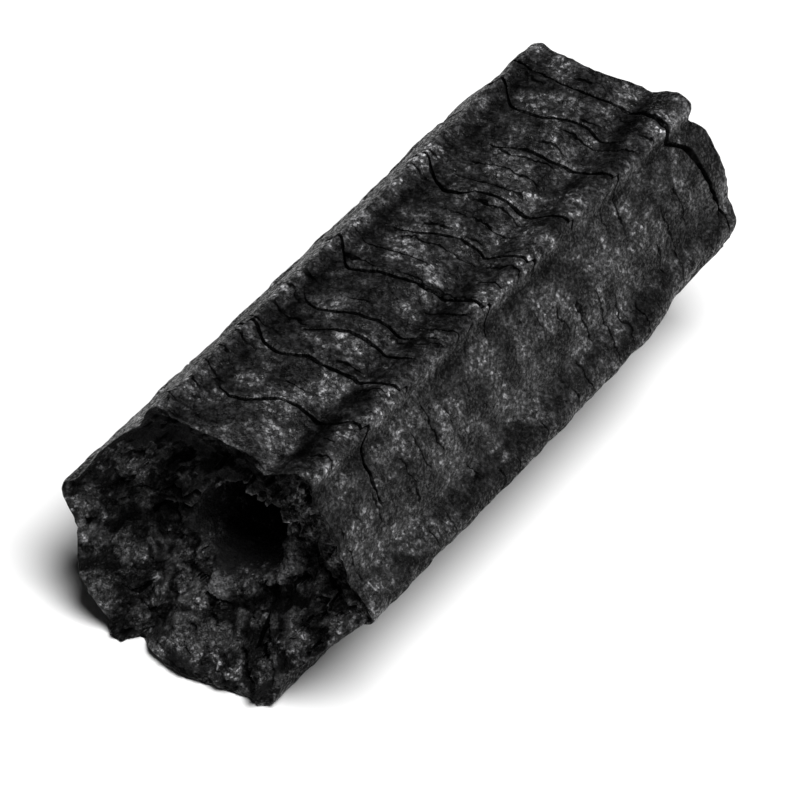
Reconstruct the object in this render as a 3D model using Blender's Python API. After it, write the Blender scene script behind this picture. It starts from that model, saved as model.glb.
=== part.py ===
"""A pressed charcoal stick, six-sided, with a round hole down its middle.

Metres, +Z up. The stick lies along Y and rests on two of its six ridges. Its front end, at -Y,
is broken into a deep dish round the hole, and its far end is broken on a slant. The origin is
the middle of its footprint.

A place round the stick is a number from 0 to 6: whole numbers are the crests of the ridges,
clockwise from the upper right one as seen from the front, and a fraction is the way from one
crest to the next, across the flank between them.
"""

import math
from collections import namedtuple

import bmesh
import bpy
from mathutils import Vector, noise

NAME = "charcoal_stick"
SIDES = 6

# Section across the stick
CREST_RADIUS = 0.0257
CREST_WANDER = 0.0003
CREST_WANDER_LENGTH = 0.030
CREST_ROUNDING = 0.0007
CREST_ROUNDED_WIDTH = 0.0026
AXIS_HEIGHT = 0.0213
BORE_RADIUS = 0.0076
BORE_WANDER = 0.0001

# Each flank falls from a crest to a shallow valley, swells, and sinks to a crease, from which
# it climbs to the shoulder of the next crest
VALLEY_AT = 0.11
CROWN_AT = 0.42
CREASE_AT = 0.74
SHOULDER_AT = 0.93
VALLEY_DEPTH = 0.0011
CROWN_DEPTH = (0.0002, 0.0016, 0.0014, 0.0000, 0.0003, 0.0005)
CREASE_DEPTH = (0.0018, 0.0022, 0.0022, 0.0014, 0.0012, 0.0023)
CREASE_APPROACH = 1.6
CREASE_EXIT = 1.5
FLANK_LUMPS = 0.00025
FLANK_LUMP_SIZE = 0.011

# Front end: how far each crest's tip is set back, the rim's tongues and bites as shifts along the
# stick, and the dish from the rim down to the hole
Swing = namedtuple("Swing", "place width shift")
FRONT_Y = -0.0567
FRONT_SETBACK = (-0.0003, 0.0030, -0.0003, -0.0018, -0.0010, -0.0008)
FRONT_SWINGS = (
    Swing(2.48, 0.28, -0.0022),
    Swing(2.84, 0.07, 0.0028),
    Swing(3.50, 0.30, -0.0024),
    Swing(4.70, 0.25, 0.0013),
    Swing(5.72, 0.09, -0.0012),
)
DISH_DEPTH = 0.0080
DISH_SHAPE = 2.2
DISH_SHAPE_SWING = 1.2
DISH_STEEPEST_ANGLE = math.radians(100)
MOUTH_RADIUS = 0.0082
MOUTH_FLARE = 0.0010
MOUTH_FLARE_ANGLE = math.radians(205)
MOUTH_FLARE_SPREAD = math.radians(50)
BEVEL = 0.0015
BEVEL_PART = 0.13
BEVEL_ANGLE = math.radians(-80)
BEVEL_SPREAD = math.radians(55)

# Ledge, trough, block and layered streaks in the dish
LEDGE = 0.0016
LEDGE_RADIUS = 0.0090
LEDGE_WIDTH = 0.0010
LEDGE_ANGLE = math.radians(-20)
LEDGE_SPREAD = math.radians(38)
TROUGH = 0.0028
TROUGH_RADIUS = 0.0119
TROUGH_WIDTH = 0.0018
TROUGH_ANGLE = math.radians(-32)
TROUGH_SPREAD = math.radians(50)
BLOCK = 0.0018
BLOCK_X = -0.0010
BLOCK_Z = -0.0101
BLOCK_HALF_SIZE = 0.0024
STREAK = 0.0008
STREAK_PITCH = 0.0032
STREAK_ANGLE = math.radians(-52)
STREAK_SPREAD = math.radians(30)

# Far end: its slant and bites, and the rubbed ridge beside it
FAR_Y = 0.0558
FAR_SLANT = 0.20
FAR_DISH_DEPTH = 0.0045
FAR_DISH_SHAPE = 1.4
FAR_MOUTH_RADIUS = 0.0086
FAR_SWINGS = (
    Swing(0.00, 0.16, -0.0017),
    Swing(0.11, 0.06, -0.0018),
    Swing(0.35, 0.20, -0.0009),
    Swing(1.00, 0.15, -0.0024),
    Swing(5.42, 0.22, -0.0026),
)
RIDGE_WEAR = 0.0018
RIDGE_WEAR_FROM = 0.031
RIDGE_WEAR_GROWS = 0.012
RIDGE_WEAR_WIDTH = 0.16

# Both broken ends: how their hollows turn from the rim's outline to a round one, and their unevenness
MEAN_RADIUS = 0.0225
ROUND_FROM = 0.35
RIM_FADE = 0.60
LUMPS_FROM = 0.25
RIM_UNEVEN = 0.0007
RIM_WAVES = 2.4
BREAK_LUMPS = 0.0010
BREAK_LUMP_SIZE = 0.0062
BREAK_CHIPS = 0.0006
BREAK_CHIP_SIZE = 0.0027
FACET_SIZE = 0.0036
FACET_SLOPE = 1.4
FACET_STEP = 0.50
FACET_SCATTER = 91.7
RIM_ROUNDING = 0.0006

# Cracks across the stick: station along Y at the crease, depth, and the arcs that each one spans
Crack = namedtuple("Crack", "station depth arcs")
CRACKS = (
    Crack(-0.0433, 0.0011, ((5.12, 6.50), (2.30, 3.70))),
    Crack(-0.0322, 0.0010, ((4.55, 6.12), (1.20, 2.60))),
    Crack(-0.0244, 0.0008, ((5.24, 5.95), (3.10, 4.30))),
    Crack(-0.0192, 0.0010, ((5.06, 5.98), (1.60, 2.80))),
    Crack(-0.0079, 0.0011, ((4.60, 6.22), (2.10, 3.50))),
    Crack(0.0049, 0.0011, ((5.16, 6.15), (1.10, 2.20))),
    Crack(0.0172, 0.0011, ((4.40, 6.10), (2.60, 3.80))),
    Crack(0.0304, 0.0010, ((5.22, 6.15), (1.30, 3.20))),
    Crack(0.0403, 0.0007, ((4.20, 5.90), (2.20, 3.60))),
)
CRACK_WIDTH = 0.0008
CRACK_ARCH = (0.0005, 0.0030, 0.0030, 0.0030, 0.0036, 0.0036)
CRACK_ARCH_VARIES = 0.5
CRACK_ARCH_LOW = 0.25
CRACK_ARCH_EDGE = 0.20
CRACK_CLIMB = (0.0024, 0.0012, 0.0016, 0.0009, 0.0014, 0.0005)
CRACK_CLIMB_WIDTH = 0.10
CRACK_WANDER = 0.0010
CRACK_WANDER_WAVES = 5.0
CRACK_FADE = 0.22

# Deep crack behind the lip of the far end
LIP_INSET = 0.0052
LIP_INSET_SWING = 0.0016
LIP_BEND = 0.0020
LIP_BEND_AT = 5.98
LIP_BEND_WIDTH = 0.26
LIP_CRACK = Crack(None, 0.0017, ((4.70, 6.70),))

# Mesh: lines round the stick and along its loop
CREST_EDGE = 0.045
LINES_BEFORE_CREASE = 9
LINES_AFTER_CREASE = 4
LINES_PER_GAP = 1
LONG_GAP = 0.011
FRONT_LINES = 12
FAR_LINES = 12
BORE_LINES = 3
END_INSET = 0.03
BORE_INSET = 0.02

COLOUR = (0.024, 0.024, 0.025, 1.0)
ROUGHNESS = 0.75


def blend(a, b, part):
    return a + (b - a) * part


def smooth(part):
    part = min(max(part, 0.0), 1.0)
    return part * part * (3 - 2 * part)


def bell(distance, width):
    return math.exp(-((distance / width) ** 2))


def turn_between(angle, middle):
    """Angle from middle, between minus and plus half a turn."""
    return (angle - middle + math.pi) % math.tau - math.pi


def flank_and_part(place):
    """Flank number, and the part of the way across it."""
    whole = math.floor(place)
    return int(whole) % SIDES, place - whole


def crest_gap(place):
    """Distance to the nearest crest, in flanks."""
    part = place - math.floor(place)
    return min(part, 1 - part)


def from_crest(place, number):
    """Distance to one crest, in flanks, the short way round."""
    return abs((place - number + SIDES / 2) % SIDES - SIDES / 2)


def crest(number, y):
    """Point of a ridge's crest in the section at y, from the stick's axis."""
    angle = math.radians(60 - 60 * number)
    wander = CREST_WANDER * noise.noise(Vector((7.3 * (number % SIDES), y / CREST_WANDER_LENGTH, 0.0)))
    return Vector((math.cos(angle), math.sin(angle))) * (CREST_RADIUS + wander)


def flank_depth(flank, part):
    """Depth of a flank below the straight line between its two crests."""
    if part < VALLEY_AT:
        return VALLEY_DEPTH * smooth(part / VALLEY_AT)
    if part < CROWN_AT:
        return blend(VALLEY_DEPTH, CROWN_DEPTH[flank], smooth((part - VALLEY_AT) / (CROWN_AT - VALLEY_AT)))
    if part < CREASE_AT:
        fall = ((part - CROWN_AT) / (CREASE_AT - CROWN_AT)) ** CREASE_APPROACH
        return blend(CROWN_DEPTH[flank], CREASE_DEPTH[flank], fall)
    climb = max(0.0, (SHOULDER_AT - part) / (SHOULDER_AT - CREASE_AT))
    return CREASE_DEPTH[flank] * climb ** CREASE_EXIT


def ridge_wear(place, y):
    """Loss of the lower right ridge, which is rubbed down towards the far end."""
    grown = smooth((y - RIDGE_WEAR_FROM) / RIDGE_WEAR_GROWS)
    return RIDGE_WEAR * grown * bell(from_crest(place, 1), RIDGE_WEAR_WIDTH)


def swings(features, place):
    """Shift of a rim along the stick by its tongues and bites."""
    return sum(swing.shift * bell(from_crest(place, swing.place), swing.width) for swing in features)


def wall_point(place, y):
    """Point of the outer wall in the section at y, from the stick's axis."""
    flank, part = flank_and_part(place)
    start = crest(flank, y)
    along = crest(flank + 1, y) - start
    outward = Vector((-along.y, along.x)).normalized()
    rounded = CREST_ROUNDING * max(0.0, 1 - crest_gap(place) * along.length / CREST_ROUNDED_WIDTH) ** 2
    nearest = (start if part < 0.5 else start + along).normalized()
    point = start + along * part
    lumps = FLANK_LUMPS * noise.noise(Vector((point.x, y, point.y)) / FLANK_LUMP_SIZE)
    return point + outward * (lumps - flank_depth(flank, part)) - nearest * (rounded + ridge_wear(place, y))


def front_rim(place):
    """Station of the front end's rim."""
    flank, part = flank_and_part(place)
    setback = blend(FRONT_SETBACK[flank], FRONT_SETBACK[(flank + 1) % SIDES], smooth(part))
    uneven = RIM_UNEVEN * ring_noise(place, 3.0, RIM_WAVES)
    return FRONT_Y + setback + swings(FRONT_SWINGS, place) + uneven


def far_rim(place):
    """Station of the far end's rim: a slant with bites."""
    uneven = RIM_UNEVEN * ring_noise(place, 9.0, RIM_WAVES)
    return FAR_Y + FAR_SLANT * wall_point(place, FAR_Y).x + swings(FAR_SWINGS, place) + uneven


def ring_noise(place, layer, waves):
    """Unevenness round the stick that closes on itself."""
    angle = math.tau * place / SIDES
    return noise.noise(Vector((waves * math.cos(angle), waves * math.sin(angle), layer)))


def crack_station(number, place):
    """Station of a crack: it arches over each flank and climbs over each ridge."""
    flank, part = flank_and_part(place)
    dip = (math.cos(math.pi * (part - CRACK_ARCH_LOW)) ** 2) ** 1.5 * smooth(part / CRACK_ARCH_EDGE)
    climb = CRACK_CLIMB[round(place) % SIDES] * bell(crest_gap(place), CRACK_CLIMB_WIDTH)
    arch = CRACK_ARCH[flank] * (1 + CRACK_ARCH_VARIES * ring_noise(place, 40.0 + 5.3 * number, RIM_WAVES))
    wander = CRACK_WANDER * ring_noise(place, 20.0 + 3.7 * number, CRACK_WANDER_WAVES)
    return CRACKS[number].station - arch * dip + climb + wander


def lip_station(place):
    """Station of the crack behind the far end's lip."""
    swing = math.cos(math.tau * (place - 5.0) / SIDES)
    bend = LIP_BEND * bell(from_crest(place, LIP_BEND_AT), LIP_BEND_WIDTH)
    return far_rim(place) - LIP_INSET - LIP_INSET_SWING * swing - bend


def reach(crack, place):
    """How open a crack is at a place: 1 along its arcs, fading to 0 past their ends."""
    opened = 0.0
    for start, stop in crack.arcs:
        middle = (start + stop) / 2
        beyond = from_crest(place, middle) - (stop - start) / 2
        opened = max(opened, smooth(-beyond / CRACK_FADE))
    return opened


def wall_lines():
    """Lines along the wall, each as two neighbouring marks, the part of the way, and a groove's crack."""
    marks = len(CRACKS) + 3
    lines = [(0, 0, 0.0, None)]
    for mark in range(1, marks):
        long_gap = mark_station(mark, 5.0) - mark_station(mark - 1, 5.0) > LONG_GAP
        count = LINES_PER_GAP + (1 if long_gap else 0)
        for line in range(1, count + 1):
            lines.append((mark - 1, mark, line / (count + 1), None))
        if mark < marks - 1:
            crack = LIP_CRACK if mark == marks - 2 else CRACKS[mark - 1]
            lines += [(mark - 1, mark, 1.0, None), (mark, mark, 0.0, crack), (mark, mark + 1, 0.0, None)]
    lines.append((marks - 1, marks - 1, 0.0, None))
    return lines


def mark_station(mark, place):
    """Station of a mark along the wall: the front rim, each crack, the lip's crack, the far rim."""
    if mark == 0:
        return front_rim(place) + RIM_ROUNDING
    if mark <= len(CRACKS):
        return crack_station(mark - 1, place)
    if mark == len(CRACKS) + 1:
        return lip_station(place)
    return far_rim(place) - RIM_ROUNDING


def wall_vertex(place, line):
    """Vertex of the outer wall on one of its lines."""
    low, high, part, crack = line
    half = 0.0 if low == high else CRACK_WIDTH / 2
    y = blend(mark_station(low, place) + half, mark_station(high, place) - half, part)
    point = wall_point(place, y)
    if crack:
        point -= point.normalized() * crack.depth * reach(crack, place)
    return Vector((point.x, y, max(0.0, point.y + AXIS_HEIGHT)))


def facets(x, z, layer):
    """Flat facets, each tilted its own way and raised or sunk against its neighbours."""
    spot = Vector((x / FACET_SIZE, layer, z / FACET_SIZE))
    nearest = noise.voronoi(spot)[1][0]
    tilt = noise.cell_vector(nearest * FACET_SCATTER) - Vector((0.5, 0.5, 0.5))
    away = spot - nearest
    return FACET_SIZE * (FACET_SLOPE * (tilt.x * away.x + tilt.y * away.z) + FACET_STEP * tilt.z)


def broken_surface(x, z, layer):
    """Lumps, chips and facets of a broken end."""
    lumps = BREAK_LUMPS * noise.noise(Vector((x, layer, z)) / BREAK_LUMP_SIZE)
    chips = BREAK_CHIPS * noise.noise(Vector((x, layer, z)) / BREAK_CHIP_SIZE)
    return lumps + chips + facets(x, z, layer)


def ledge_share(x, z):
    """How far a spot of the dish lies on the ledge beside the hole."""
    beside = bell(turn_between(math.atan2(z, x), LEDGE_ANGLE), LEDGE_SPREAD)
    return bell(math.hypot(x, z) - LEDGE_RADIUS, LEDGE_WIDTH) * beside


def block_share(x, z):
    """How far a spot of the dish lies on the block under the hole."""
    off_block = max(abs(x - BLOCK_X), abs(z - BLOCK_Z))
    return smooth(2 * (1 - off_block / BLOCK_HALF_SIZE))


def dish_relief(x, z):
    """Ledge, trough, block and streaks, as a height towards the front."""
    radius = math.hypot(x, z)
    angle = math.atan2(z, x)
    below = bell(turn_between(angle, TROUGH_ANGLE), TROUGH_SPREAD)
    trough = TROUGH * bell(radius - TROUGH_RADIUS, TROUGH_WIDTH) * below
    across = radius * turn_between(angle, STREAK_ANGLE)
    streak = STREAK * math.sin(math.tau * across / STREAK_PITCH) * bell(across / radius, STREAK_SPREAD)
    return LEDGE * ledge_share(x, z) - trough + BLOCK * block_share(x, z) + streak


def inward(outer, mouth, part):
    """Part of the way in that sets the depth: by the rim's outline at first, round farther in."""
    round_part = (MEAN_RADIUS - blend(outer, mouth, part)) / (MEAN_RADIUS - mouth)
    return min(1.0, max(0.0, blend(part, round_part, smooth(part / ROUND_FROM))))


def front_vertex(place, part):
    """Vertex of the front end, from its rim (0) to the mouth of the hole (1)."""
    rim = wall_point(place, FRONT_Y)
    angle = math.atan2(rim.y, rim.x)
    mouth = MOUTH_RADIUS + MOUTH_FLARE * bell(turn_between(angle, MOUTH_FLARE_ANGLE), MOUTH_FLARE_SPREAD)
    point = rim.lerp(rim.normalized() * mouth, part)
    steepness = DISH_SHAPE + DISH_SHAPE_SWING * math.cos(turn_between(angle, DISH_STEEPEST_ANGLE))
    bevel = BEVEL * bell(turn_between(angle, BEVEL_ANGLE), BEVEL_SPREAD) * smooth(part / BEVEL_PART)
    depth = DISH_DEPTH * (1 - (1 - inward(rim.length, mouth, part)) ** steepness) - bevel * (1 - part)
    inside = smooth(part / LUMPS_FROM)
    relief = inside * dish_relief(point.x, point.y)
    smoother = inside * max(ledge_share(point.x, point.y), block_share(point.x, point.y))
    uneven = inside * (1 - smoother) * broken_surface(point.x, point.y, 1.0)
    y = blend(front_rim(place), FRONT_Y, smooth(part / RIM_FADE)) + depth - relief - uneven
    return Vector((point.x, y, max(0.0, point.y + AXIS_HEIGHT)))


def far_vertex(place, part):
    """Vertex of the far end, from its rim (0) to the mouth of the hole (1)."""
    rim = wall_point(place, FAR_Y)
    point = rim.lerp(rim.normalized() * FAR_MOUTH_RADIUS, part)
    depth = FAR_DISH_DEPTH * inward(rim.length, FAR_MOUTH_RADIUS, part) ** FAR_DISH_SHAPE
    uneven = smooth(part / LUMPS_FROM) * broken_surface(point.x, point.y, 5.0)
    y = blend(far_rim(place), FAR_Y + FAR_SLANT * point.x, smooth(part / RIM_FADE)) - depth + uneven
    return Vector((point.x, y, max(0.0, point.y + AXIS_HEIGHT)))


def bore_vertex(place, part):
    """Vertex of the hole's wall, from the far mouth (0) to the front mouth (1)."""
    rim = wall_point(place, FRONT_Y)
    y = blend(far_vertex(place, 1.0).y, front_vertex(place, 1.0).y, part)
    wander = BORE_WANDER * noise.noise(Vector((rim.x, y, rim.y)) / FLANK_LUMP_SIZE)
    point = rim.normalized() * (BORE_RADIUS + wander)
    return Vector((point.x, y, point.y + AXIS_HEIGHT))


def places_round():
    """Places of the lines round the stick, with one on each crest and each crease."""
    places = []
    for flank in range(SIDES):
        places.append(flank)
        for line in range(LINES_BEFORE_CREASE - 1):
            places.append(flank + blend(CREST_EDGE, CREASE_AT, line / (LINES_BEFORE_CREASE - 1)))
        for line in range(LINES_AFTER_CREASE):
            places.append(flank + blend(CREASE_AT, 1.0, line / LINES_AFTER_CREASE))
    return places


def loop_at(place, lines):
    """Closed loop of vertices at a place: along the wall, down the far end, the hole and the front end."""
    loop = [wall_vertex(place, line) for line in lines]
    loop += [far_vertex(place, blend(END_INSET, 1.0, step / (FAR_LINES - 1))) for step in range(FAR_LINES)]
    for step in range(BORE_LINES):
        loop.append(bore_vertex(place, blend(BORE_INSET, 1 - BORE_INSET, step / (BORE_LINES - 1))))
    loop += [front_vertex(place, blend(1.0, END_INSET, step / (FRONT_LINES - 1))) for step in range(FRONT_LINES)]
    return loop


def charcoal_material():
    material = bpy.data.materials.new("charcoal")
    material.use_nodes = True
    shader = material.node_tree.nodes["Principled BSDF"]
    shader.inputs["Base Color"].default_value = COLOUR
    shader.inputs["Roughness"].default_value = ROUGHNESS
    shader.inputs["Metallic"].default_value = 0.0
    return material


def charcoal_stick(collection):
    """The stick: a ring-shaped grid of faces, each vertex moved to its place on the stick."""
    places = places_round()
    lines = wall_lines()
    loops = [loop_at(place, lines) for place in places]
    bpy.ops.mesh.primitive_torus_add(major_segments=len(places), minor_segments=len(loops[0]))
    stick = bpy.context.object
    stick.name = NAME
    stick.data.name = NAME
    for vertex in stick.data.vertices:
        ring, step = divmod(vertex.index, len(loops[0]))
        vertex.co = loops[ring][step]

    shape = bmesh.new()
    shape.from_mesh(stick.data)
    bmesh.ops.triangulate(shape, faces=shape.faces, quad_method="SHORT_EDGE")
    bmesh.ops.recalc_face_normals(shape, faces=shape.faces)
    shape.to_mesh(stick.data)
    shape.free()
    stick.data.materials.append(charcoal_material())
    for owner in list(stick.users_collection):
        owner.objects.unlink(stick)
    collection.objects.link(stick)
    return stick


def main():
    for old in list(bpy.data.objects):
        bpy.data.objects.remove(old, do_unlink=True)
    collection = bpy.data.collections.new("charcoal stick")
    bpy.context.scene.collection.children.link(collection)
    charcoal_stick(collection)


main()
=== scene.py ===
"""A pressed charcoal stick on a pale floor, in the frame of its solid model.

Metres, +Z up. The stick lies along Y, its dished front end at -Y. The surface repeats the solid's
shape on a much finer grid and adds what is too small for it: narrow cracks, grain, chipped ridges
and the splintered relief of both broken ends.

A place round the stick is a number from 0 to 6: whole numbers are the crests of the ridges,
clockwise from the upper right one as seen from the front, and a fraction is the way from one
crest to the next, across the flank between them.
"""

import math
from collections import namedtuple

import bpy
from mathutils import Matrix, Vector, noise


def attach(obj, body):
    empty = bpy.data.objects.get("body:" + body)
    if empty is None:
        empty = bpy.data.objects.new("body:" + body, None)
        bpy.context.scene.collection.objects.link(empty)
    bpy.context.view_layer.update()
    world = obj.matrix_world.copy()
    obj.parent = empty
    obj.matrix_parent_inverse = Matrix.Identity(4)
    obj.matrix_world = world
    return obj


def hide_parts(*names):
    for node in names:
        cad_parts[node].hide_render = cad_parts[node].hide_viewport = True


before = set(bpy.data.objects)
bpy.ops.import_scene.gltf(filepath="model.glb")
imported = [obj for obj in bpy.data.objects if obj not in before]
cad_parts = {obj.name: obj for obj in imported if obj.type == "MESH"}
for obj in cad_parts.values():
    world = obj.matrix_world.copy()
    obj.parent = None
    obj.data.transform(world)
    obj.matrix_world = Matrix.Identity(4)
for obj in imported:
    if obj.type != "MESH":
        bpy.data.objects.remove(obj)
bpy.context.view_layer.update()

NODE = "charcoal_stick"
BODY = "root"
SIDES = 6

# Section across the stick, as in the solid
CREST_RADIUS = 0.0257
CREST_WANDER = 0.0003
CREST_WANDER_LENGTH = 0.030
CREST_ROUNDING = 0.0007
CREST_ROUNDED_WIDTH = 0.0026
AXIS_HEIGHT = 0.0213
BORE_RADIUS = 0.0076
BORE_WANDER = 0.0001
VALLEY_AT = 0.11
CROWN_AT = 0.42
CREASE_AT = 0.74
SHOULDER_AT = 0.93
VALLEY_DEPTH = 0.0011
CROWN_DEPTH = (0.0002, 0.0016, 0.0014, 0.0000, 0.0003, 0.0005)
CREASE_DEPTH = (0.0018, 0.0022, 0.0022, 0.0014, 0.0012, 0.0023)
CREASE_APPROACH = 1.6
CREASE_EXIT = 1.5
FLANK_LUMPS = 0.00025
FLANK_LUMP_SIZE = 0.011
RIDGES_APART = 7.3

# Front end, as in the solid
Swing = namedtuple("Swing", "place width shift")
FRONT_Y = -0.0567
FRONT_SETBACK = (-0.0003, 0.0030, -0.0003, -0.0018, -0.0010, -0.0008)
FRONT_SWINGS = (
    Swing(2.48, 0.28, -0.0022),
    Swing(2.84, 0.07, 0.0028),
    Swing(3.50, 0.30, -0.0024),
    Swing(4.70, 0.25, 0.0013),
    Swing(5.72, 0.09, -0.0012),
)
MEAN_RADIUS = 0.0225
ROUND_FROM = 0.35
RIM_FADE = 0.60
LUMPS_FROM = 0.25
DISH_DEPTH = 0.0080
DISH_SHAPE = 2.2
DISH_SHAPE_SWING = 1.2
DISH_STEEPEST_ANGLE = math.radians(100)
MOUTH_RADIUS = 0.0082
MOUTH_FLARE = 0.0010
MOUTH_FLARE_ANGLE = math.radians(205)
MOUTH_FLARE_SPREAD = math.radians(50)
BEVEL = 0.0015
BEVEL_PART = 0.13
BEVEL_ANGLE = math.radians(-80)
BEVEL_SPREAD = math.radians(55)
LEDGE = 0.0016
LEDGE_RADIUS = 0.0090
LEDGE_WIDTH = 0.0010
LEDGE_ANGLE = math.radians(-20)
LEDGE_SPREAD = math.radians(38)
TROUGH = 0.0028
TROUGH_RADIUS = 0.0119
TROUGH_WIDTH = 0.0018
TROUGH_ANGLE = math.radians(-32)
TROUGH_SPREAD = math.radians(50)
BLOCK = 0.0018
BLOCK_X = -0.0010
BLOCK_Z = -0.0101
BLOCK_HALF_SIZE = 0.0024
BLOCK_STEEPNESS = 2.0
STREAK = 0.0008
STREAK_PITCH = 0.0032
STREAK_ANGLE = math.radians(-52)
STREAK_SPREAD = math.radians(30)

# Far end, as in the solid
FAR_Y = 0.0558
FAR_SLANT = 0.20
FAR_DISH_DEPTH = 0.0045
FAR_DISH_SHAPE = 1.4
FAR_MOUTH_RADIUS = 0.0086
FAR_SWINGS = (
    Swing(0.00, 0.16, -0.0017),
    Swing(0.11, 0.06, -0.0018),
    Swing(0.35, 0.20, -0.0009),
    Swing(1.00, 0.15, -0.0024),
    Swing(5.42, 0.22, -0.0026),
)
RIDGE_WEAR = 0.0018
RIDGE_WEAR_FROM = 0.031
RIDGE_WEAR_GROWS = 0.012
RIDGE_WEAR_WIDTH = 0.16

# Unevenness of both broken ends, as in the solid. A layer is the place in the noise that a pattern is
# cut from.
RIM_UNEVEN = 0.0007
RIM_WAVES = 2.4
FRONT_RIM_LAYER = 3.0
FAR_RIM_LAYER = 9.0
FRONT_LAYER = 1.0
FAR_LAYER = 5.0
BREAK_LUMPS = 0.0010
BREAK_LUMP_SIZE = 0.0062
BREAK_CHIPS = 0.0006
BREAK_CHIP_SIZE = 0.0027
RIM_ROUNDING = 0.0004
FACET_SIZE = 0.0036
FACET_SLOPE = 1.4
FACET_STEP = 0.50
FACET_SCATTER = 91.7

# Finer relief of the broken ends: splinters, crumbs and crevices
SPLINTER_SIZE = 0.0014
SPLINTER_SLOPE = 1.7
SPLINTER_STEP = 0.50
CRUMB = 0.00025
CRUMB_SIZE = 0.0008
CREVICE = 0.0010
CREVICE_SIZE = 0.0050
CREVICE_WIDTH = 0.055
CREVICE_CORE = 6
CREVICE_SHIFT = 0.013
CREVICE_PATCH_SIZE = 0.0070
CREVICE_PATCH_SHIFT = Vector((7.0, 0.0, 0.0))
CREVICE_PATCH_STEEPNESS = 4.0
CREVICE_PATCH_SHARE = 0.4
SPLINTER_SHIFT = 11.0
SPLINTERS_FROM = 0.06
FAR_SPLINTERS_FROM = 0.20
SMOOTH_FRAGMENTS = 0.8
RIM_CHIP = 0.00035
RIM_CHIP_WAVES = 22.0
FRONT_CHIP_LAYER = 60.0
FAR_CHIP_LAYER = 66.0

# Darkening of the ends. In the dish it is painted shade: one direction from the hole, towards the lit lower
# left, is free of it, in another, the upper left recess, it is thickest, the rest has a thin share, and a
# band of it lies inside the lower rim, on the bevel that is in shade. The far end is darker all over.
UNSHADED_ANGLE = math.radians(-130)
UNSHADED_SPREAD = math.radians(61)
UNSHADED_RADIUS = 0.0090
UNSHADED_BLEND = 0.0030
PAINTED_SHADE_ANGLE = math.radians(120)
PAINTED_SHADE_SPREAD = math.radians(60)
THIN_PAINTED_SHADE = 0.15
RIM_PAINTED_SHADE = 0.8
RIM_PAINTED_SHADE_PART = 0.17
RIM_PAINTED_SHADE_WIDTH = 0.08
FAR_DARKENING = 0.2

# Painted shade on the wall: in patches on the climb from each crease to its ridge, along the valley on the
# ridge's other side, under the right ridge, and thinly on the upper right flank, with one thicker patch
CREASE_PAINTED_SHADE = (0.55, 0.85, 0.85, 0.85, 0.85, 0.85)
CREASE_PAINTED_SHADE_AT = 0.82
CREASE_PAINTED_SHADE_WIDTH = 0.085
CREASE_PATCH_SIZE = 0.0050
CREASE_PATCH_SHARE = 0.8
CREASE_PATCH_LAYER = 3.0
FLANKS_APART = 9.1
VALLEY_PAINTED_SHADE = 0.64
VALLEY_PAINTED_SHADE_AT = 0.125
VALLEY_PAINTED_SHADE_WIDTH = 0.060
UNDER_PAINTED_SHADE = 0.90
UNDER_PAINTED_SHADE_AT = 1.15
UNDER_PAINTED_SHADE_WIDTH = 0.30
RIGHT_PAINTED_SHADE = 0.36
RIGHT_PAINTED_SHADE_AT = 0.46
RIGHT_PAINTED_SHADE_WIDTH = 0.25
FAR_PATCH = 0.50
FAR_PATCH_AT = (0.60, 0.0440)
FAR_PATCH_WIDTH = 0.30
FAR_PATCH_LENGTH = 0.0110

# Cracks across the stick: station along Y at the crease, depth, and the arcs that each one spans
Crack = namedtuple("Crack", "station depth arcs")
CRACKS = (
    Crack(-0.0433, 0.0011, ((5.12, 6.50), (2.30, 3.70))),
    Crack(-0.0322, 0.0010, ((4.55, 6.12), (1.20, 2.60))),
    Crack(-0.0244, 0.0008, ((5.24, 5.95), (3.10, 4.30))),
    Crack(-0.0192, 0.0010, ((5.06, 5.98), (1.60, 2.80))),
    Crack(-0.0079, 0.0011, ((4.60, 6.22), (2.10, 3.50))),
    Crack(0.0049, 0.0011, ((5.16, 6.15), (1.10, 2.20))),
    Crack(0.0172, 0.0011, ((4.40, 6.10), (2.60, 3.80))),
    Crack(0.0304, 0.0010, ((5.22, 6.15), (1.30, 3.20))),
    Crack(0.0403, 0.0007, ((4.20, 5.90), (2.20, 3.60))),
)
CRACK_ARCH = (0.0005, 0.0030, 0.0030, 0.0030, 0.0036, 0.0036)
CRACK_ARCH_VARIES = 0.5
CRACK_ARCH_LOW = 0.25
CRACK_ARCH_EDGE = 0.20
CRACK_ARCH_SHAPE = 1.5
CRACK_ARCH_LAYER = 40.0
CRACK_ARCHES_APART = 5.3
CRACK_CLIMB = (0.0024, 0.0012, 0.0016, 0.0009, 0.0014, 0.0005)
CRACK_CLIMB_WIDTH = 0.10
CRACK_WANDER = 0.0010
CRACK_WANDER_WAVES = 5.0
CRACK_WANDER_LAYER = 20.0
CRACK_WANDERS_APART = 3.7
CRACK_FADE = 0.22
LIP_INSET = 0.0052
LIP_INSET_SWING = 0.0016
LIP_INSET_SWING_AT = 5.0
LIP_BEND = 0.0020
LIP_BEND_AT = 5.98
LIP_BEND_WIDTH = 0.26
LIP_REJOIN = 0.0022
LIP_REJOIN_AT = 0.95
LIP_REJOIN_WIDTH = 0.30
LIP_CRACK = Crack(None, 0.0017, ((4.70, 6.98),))

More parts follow.
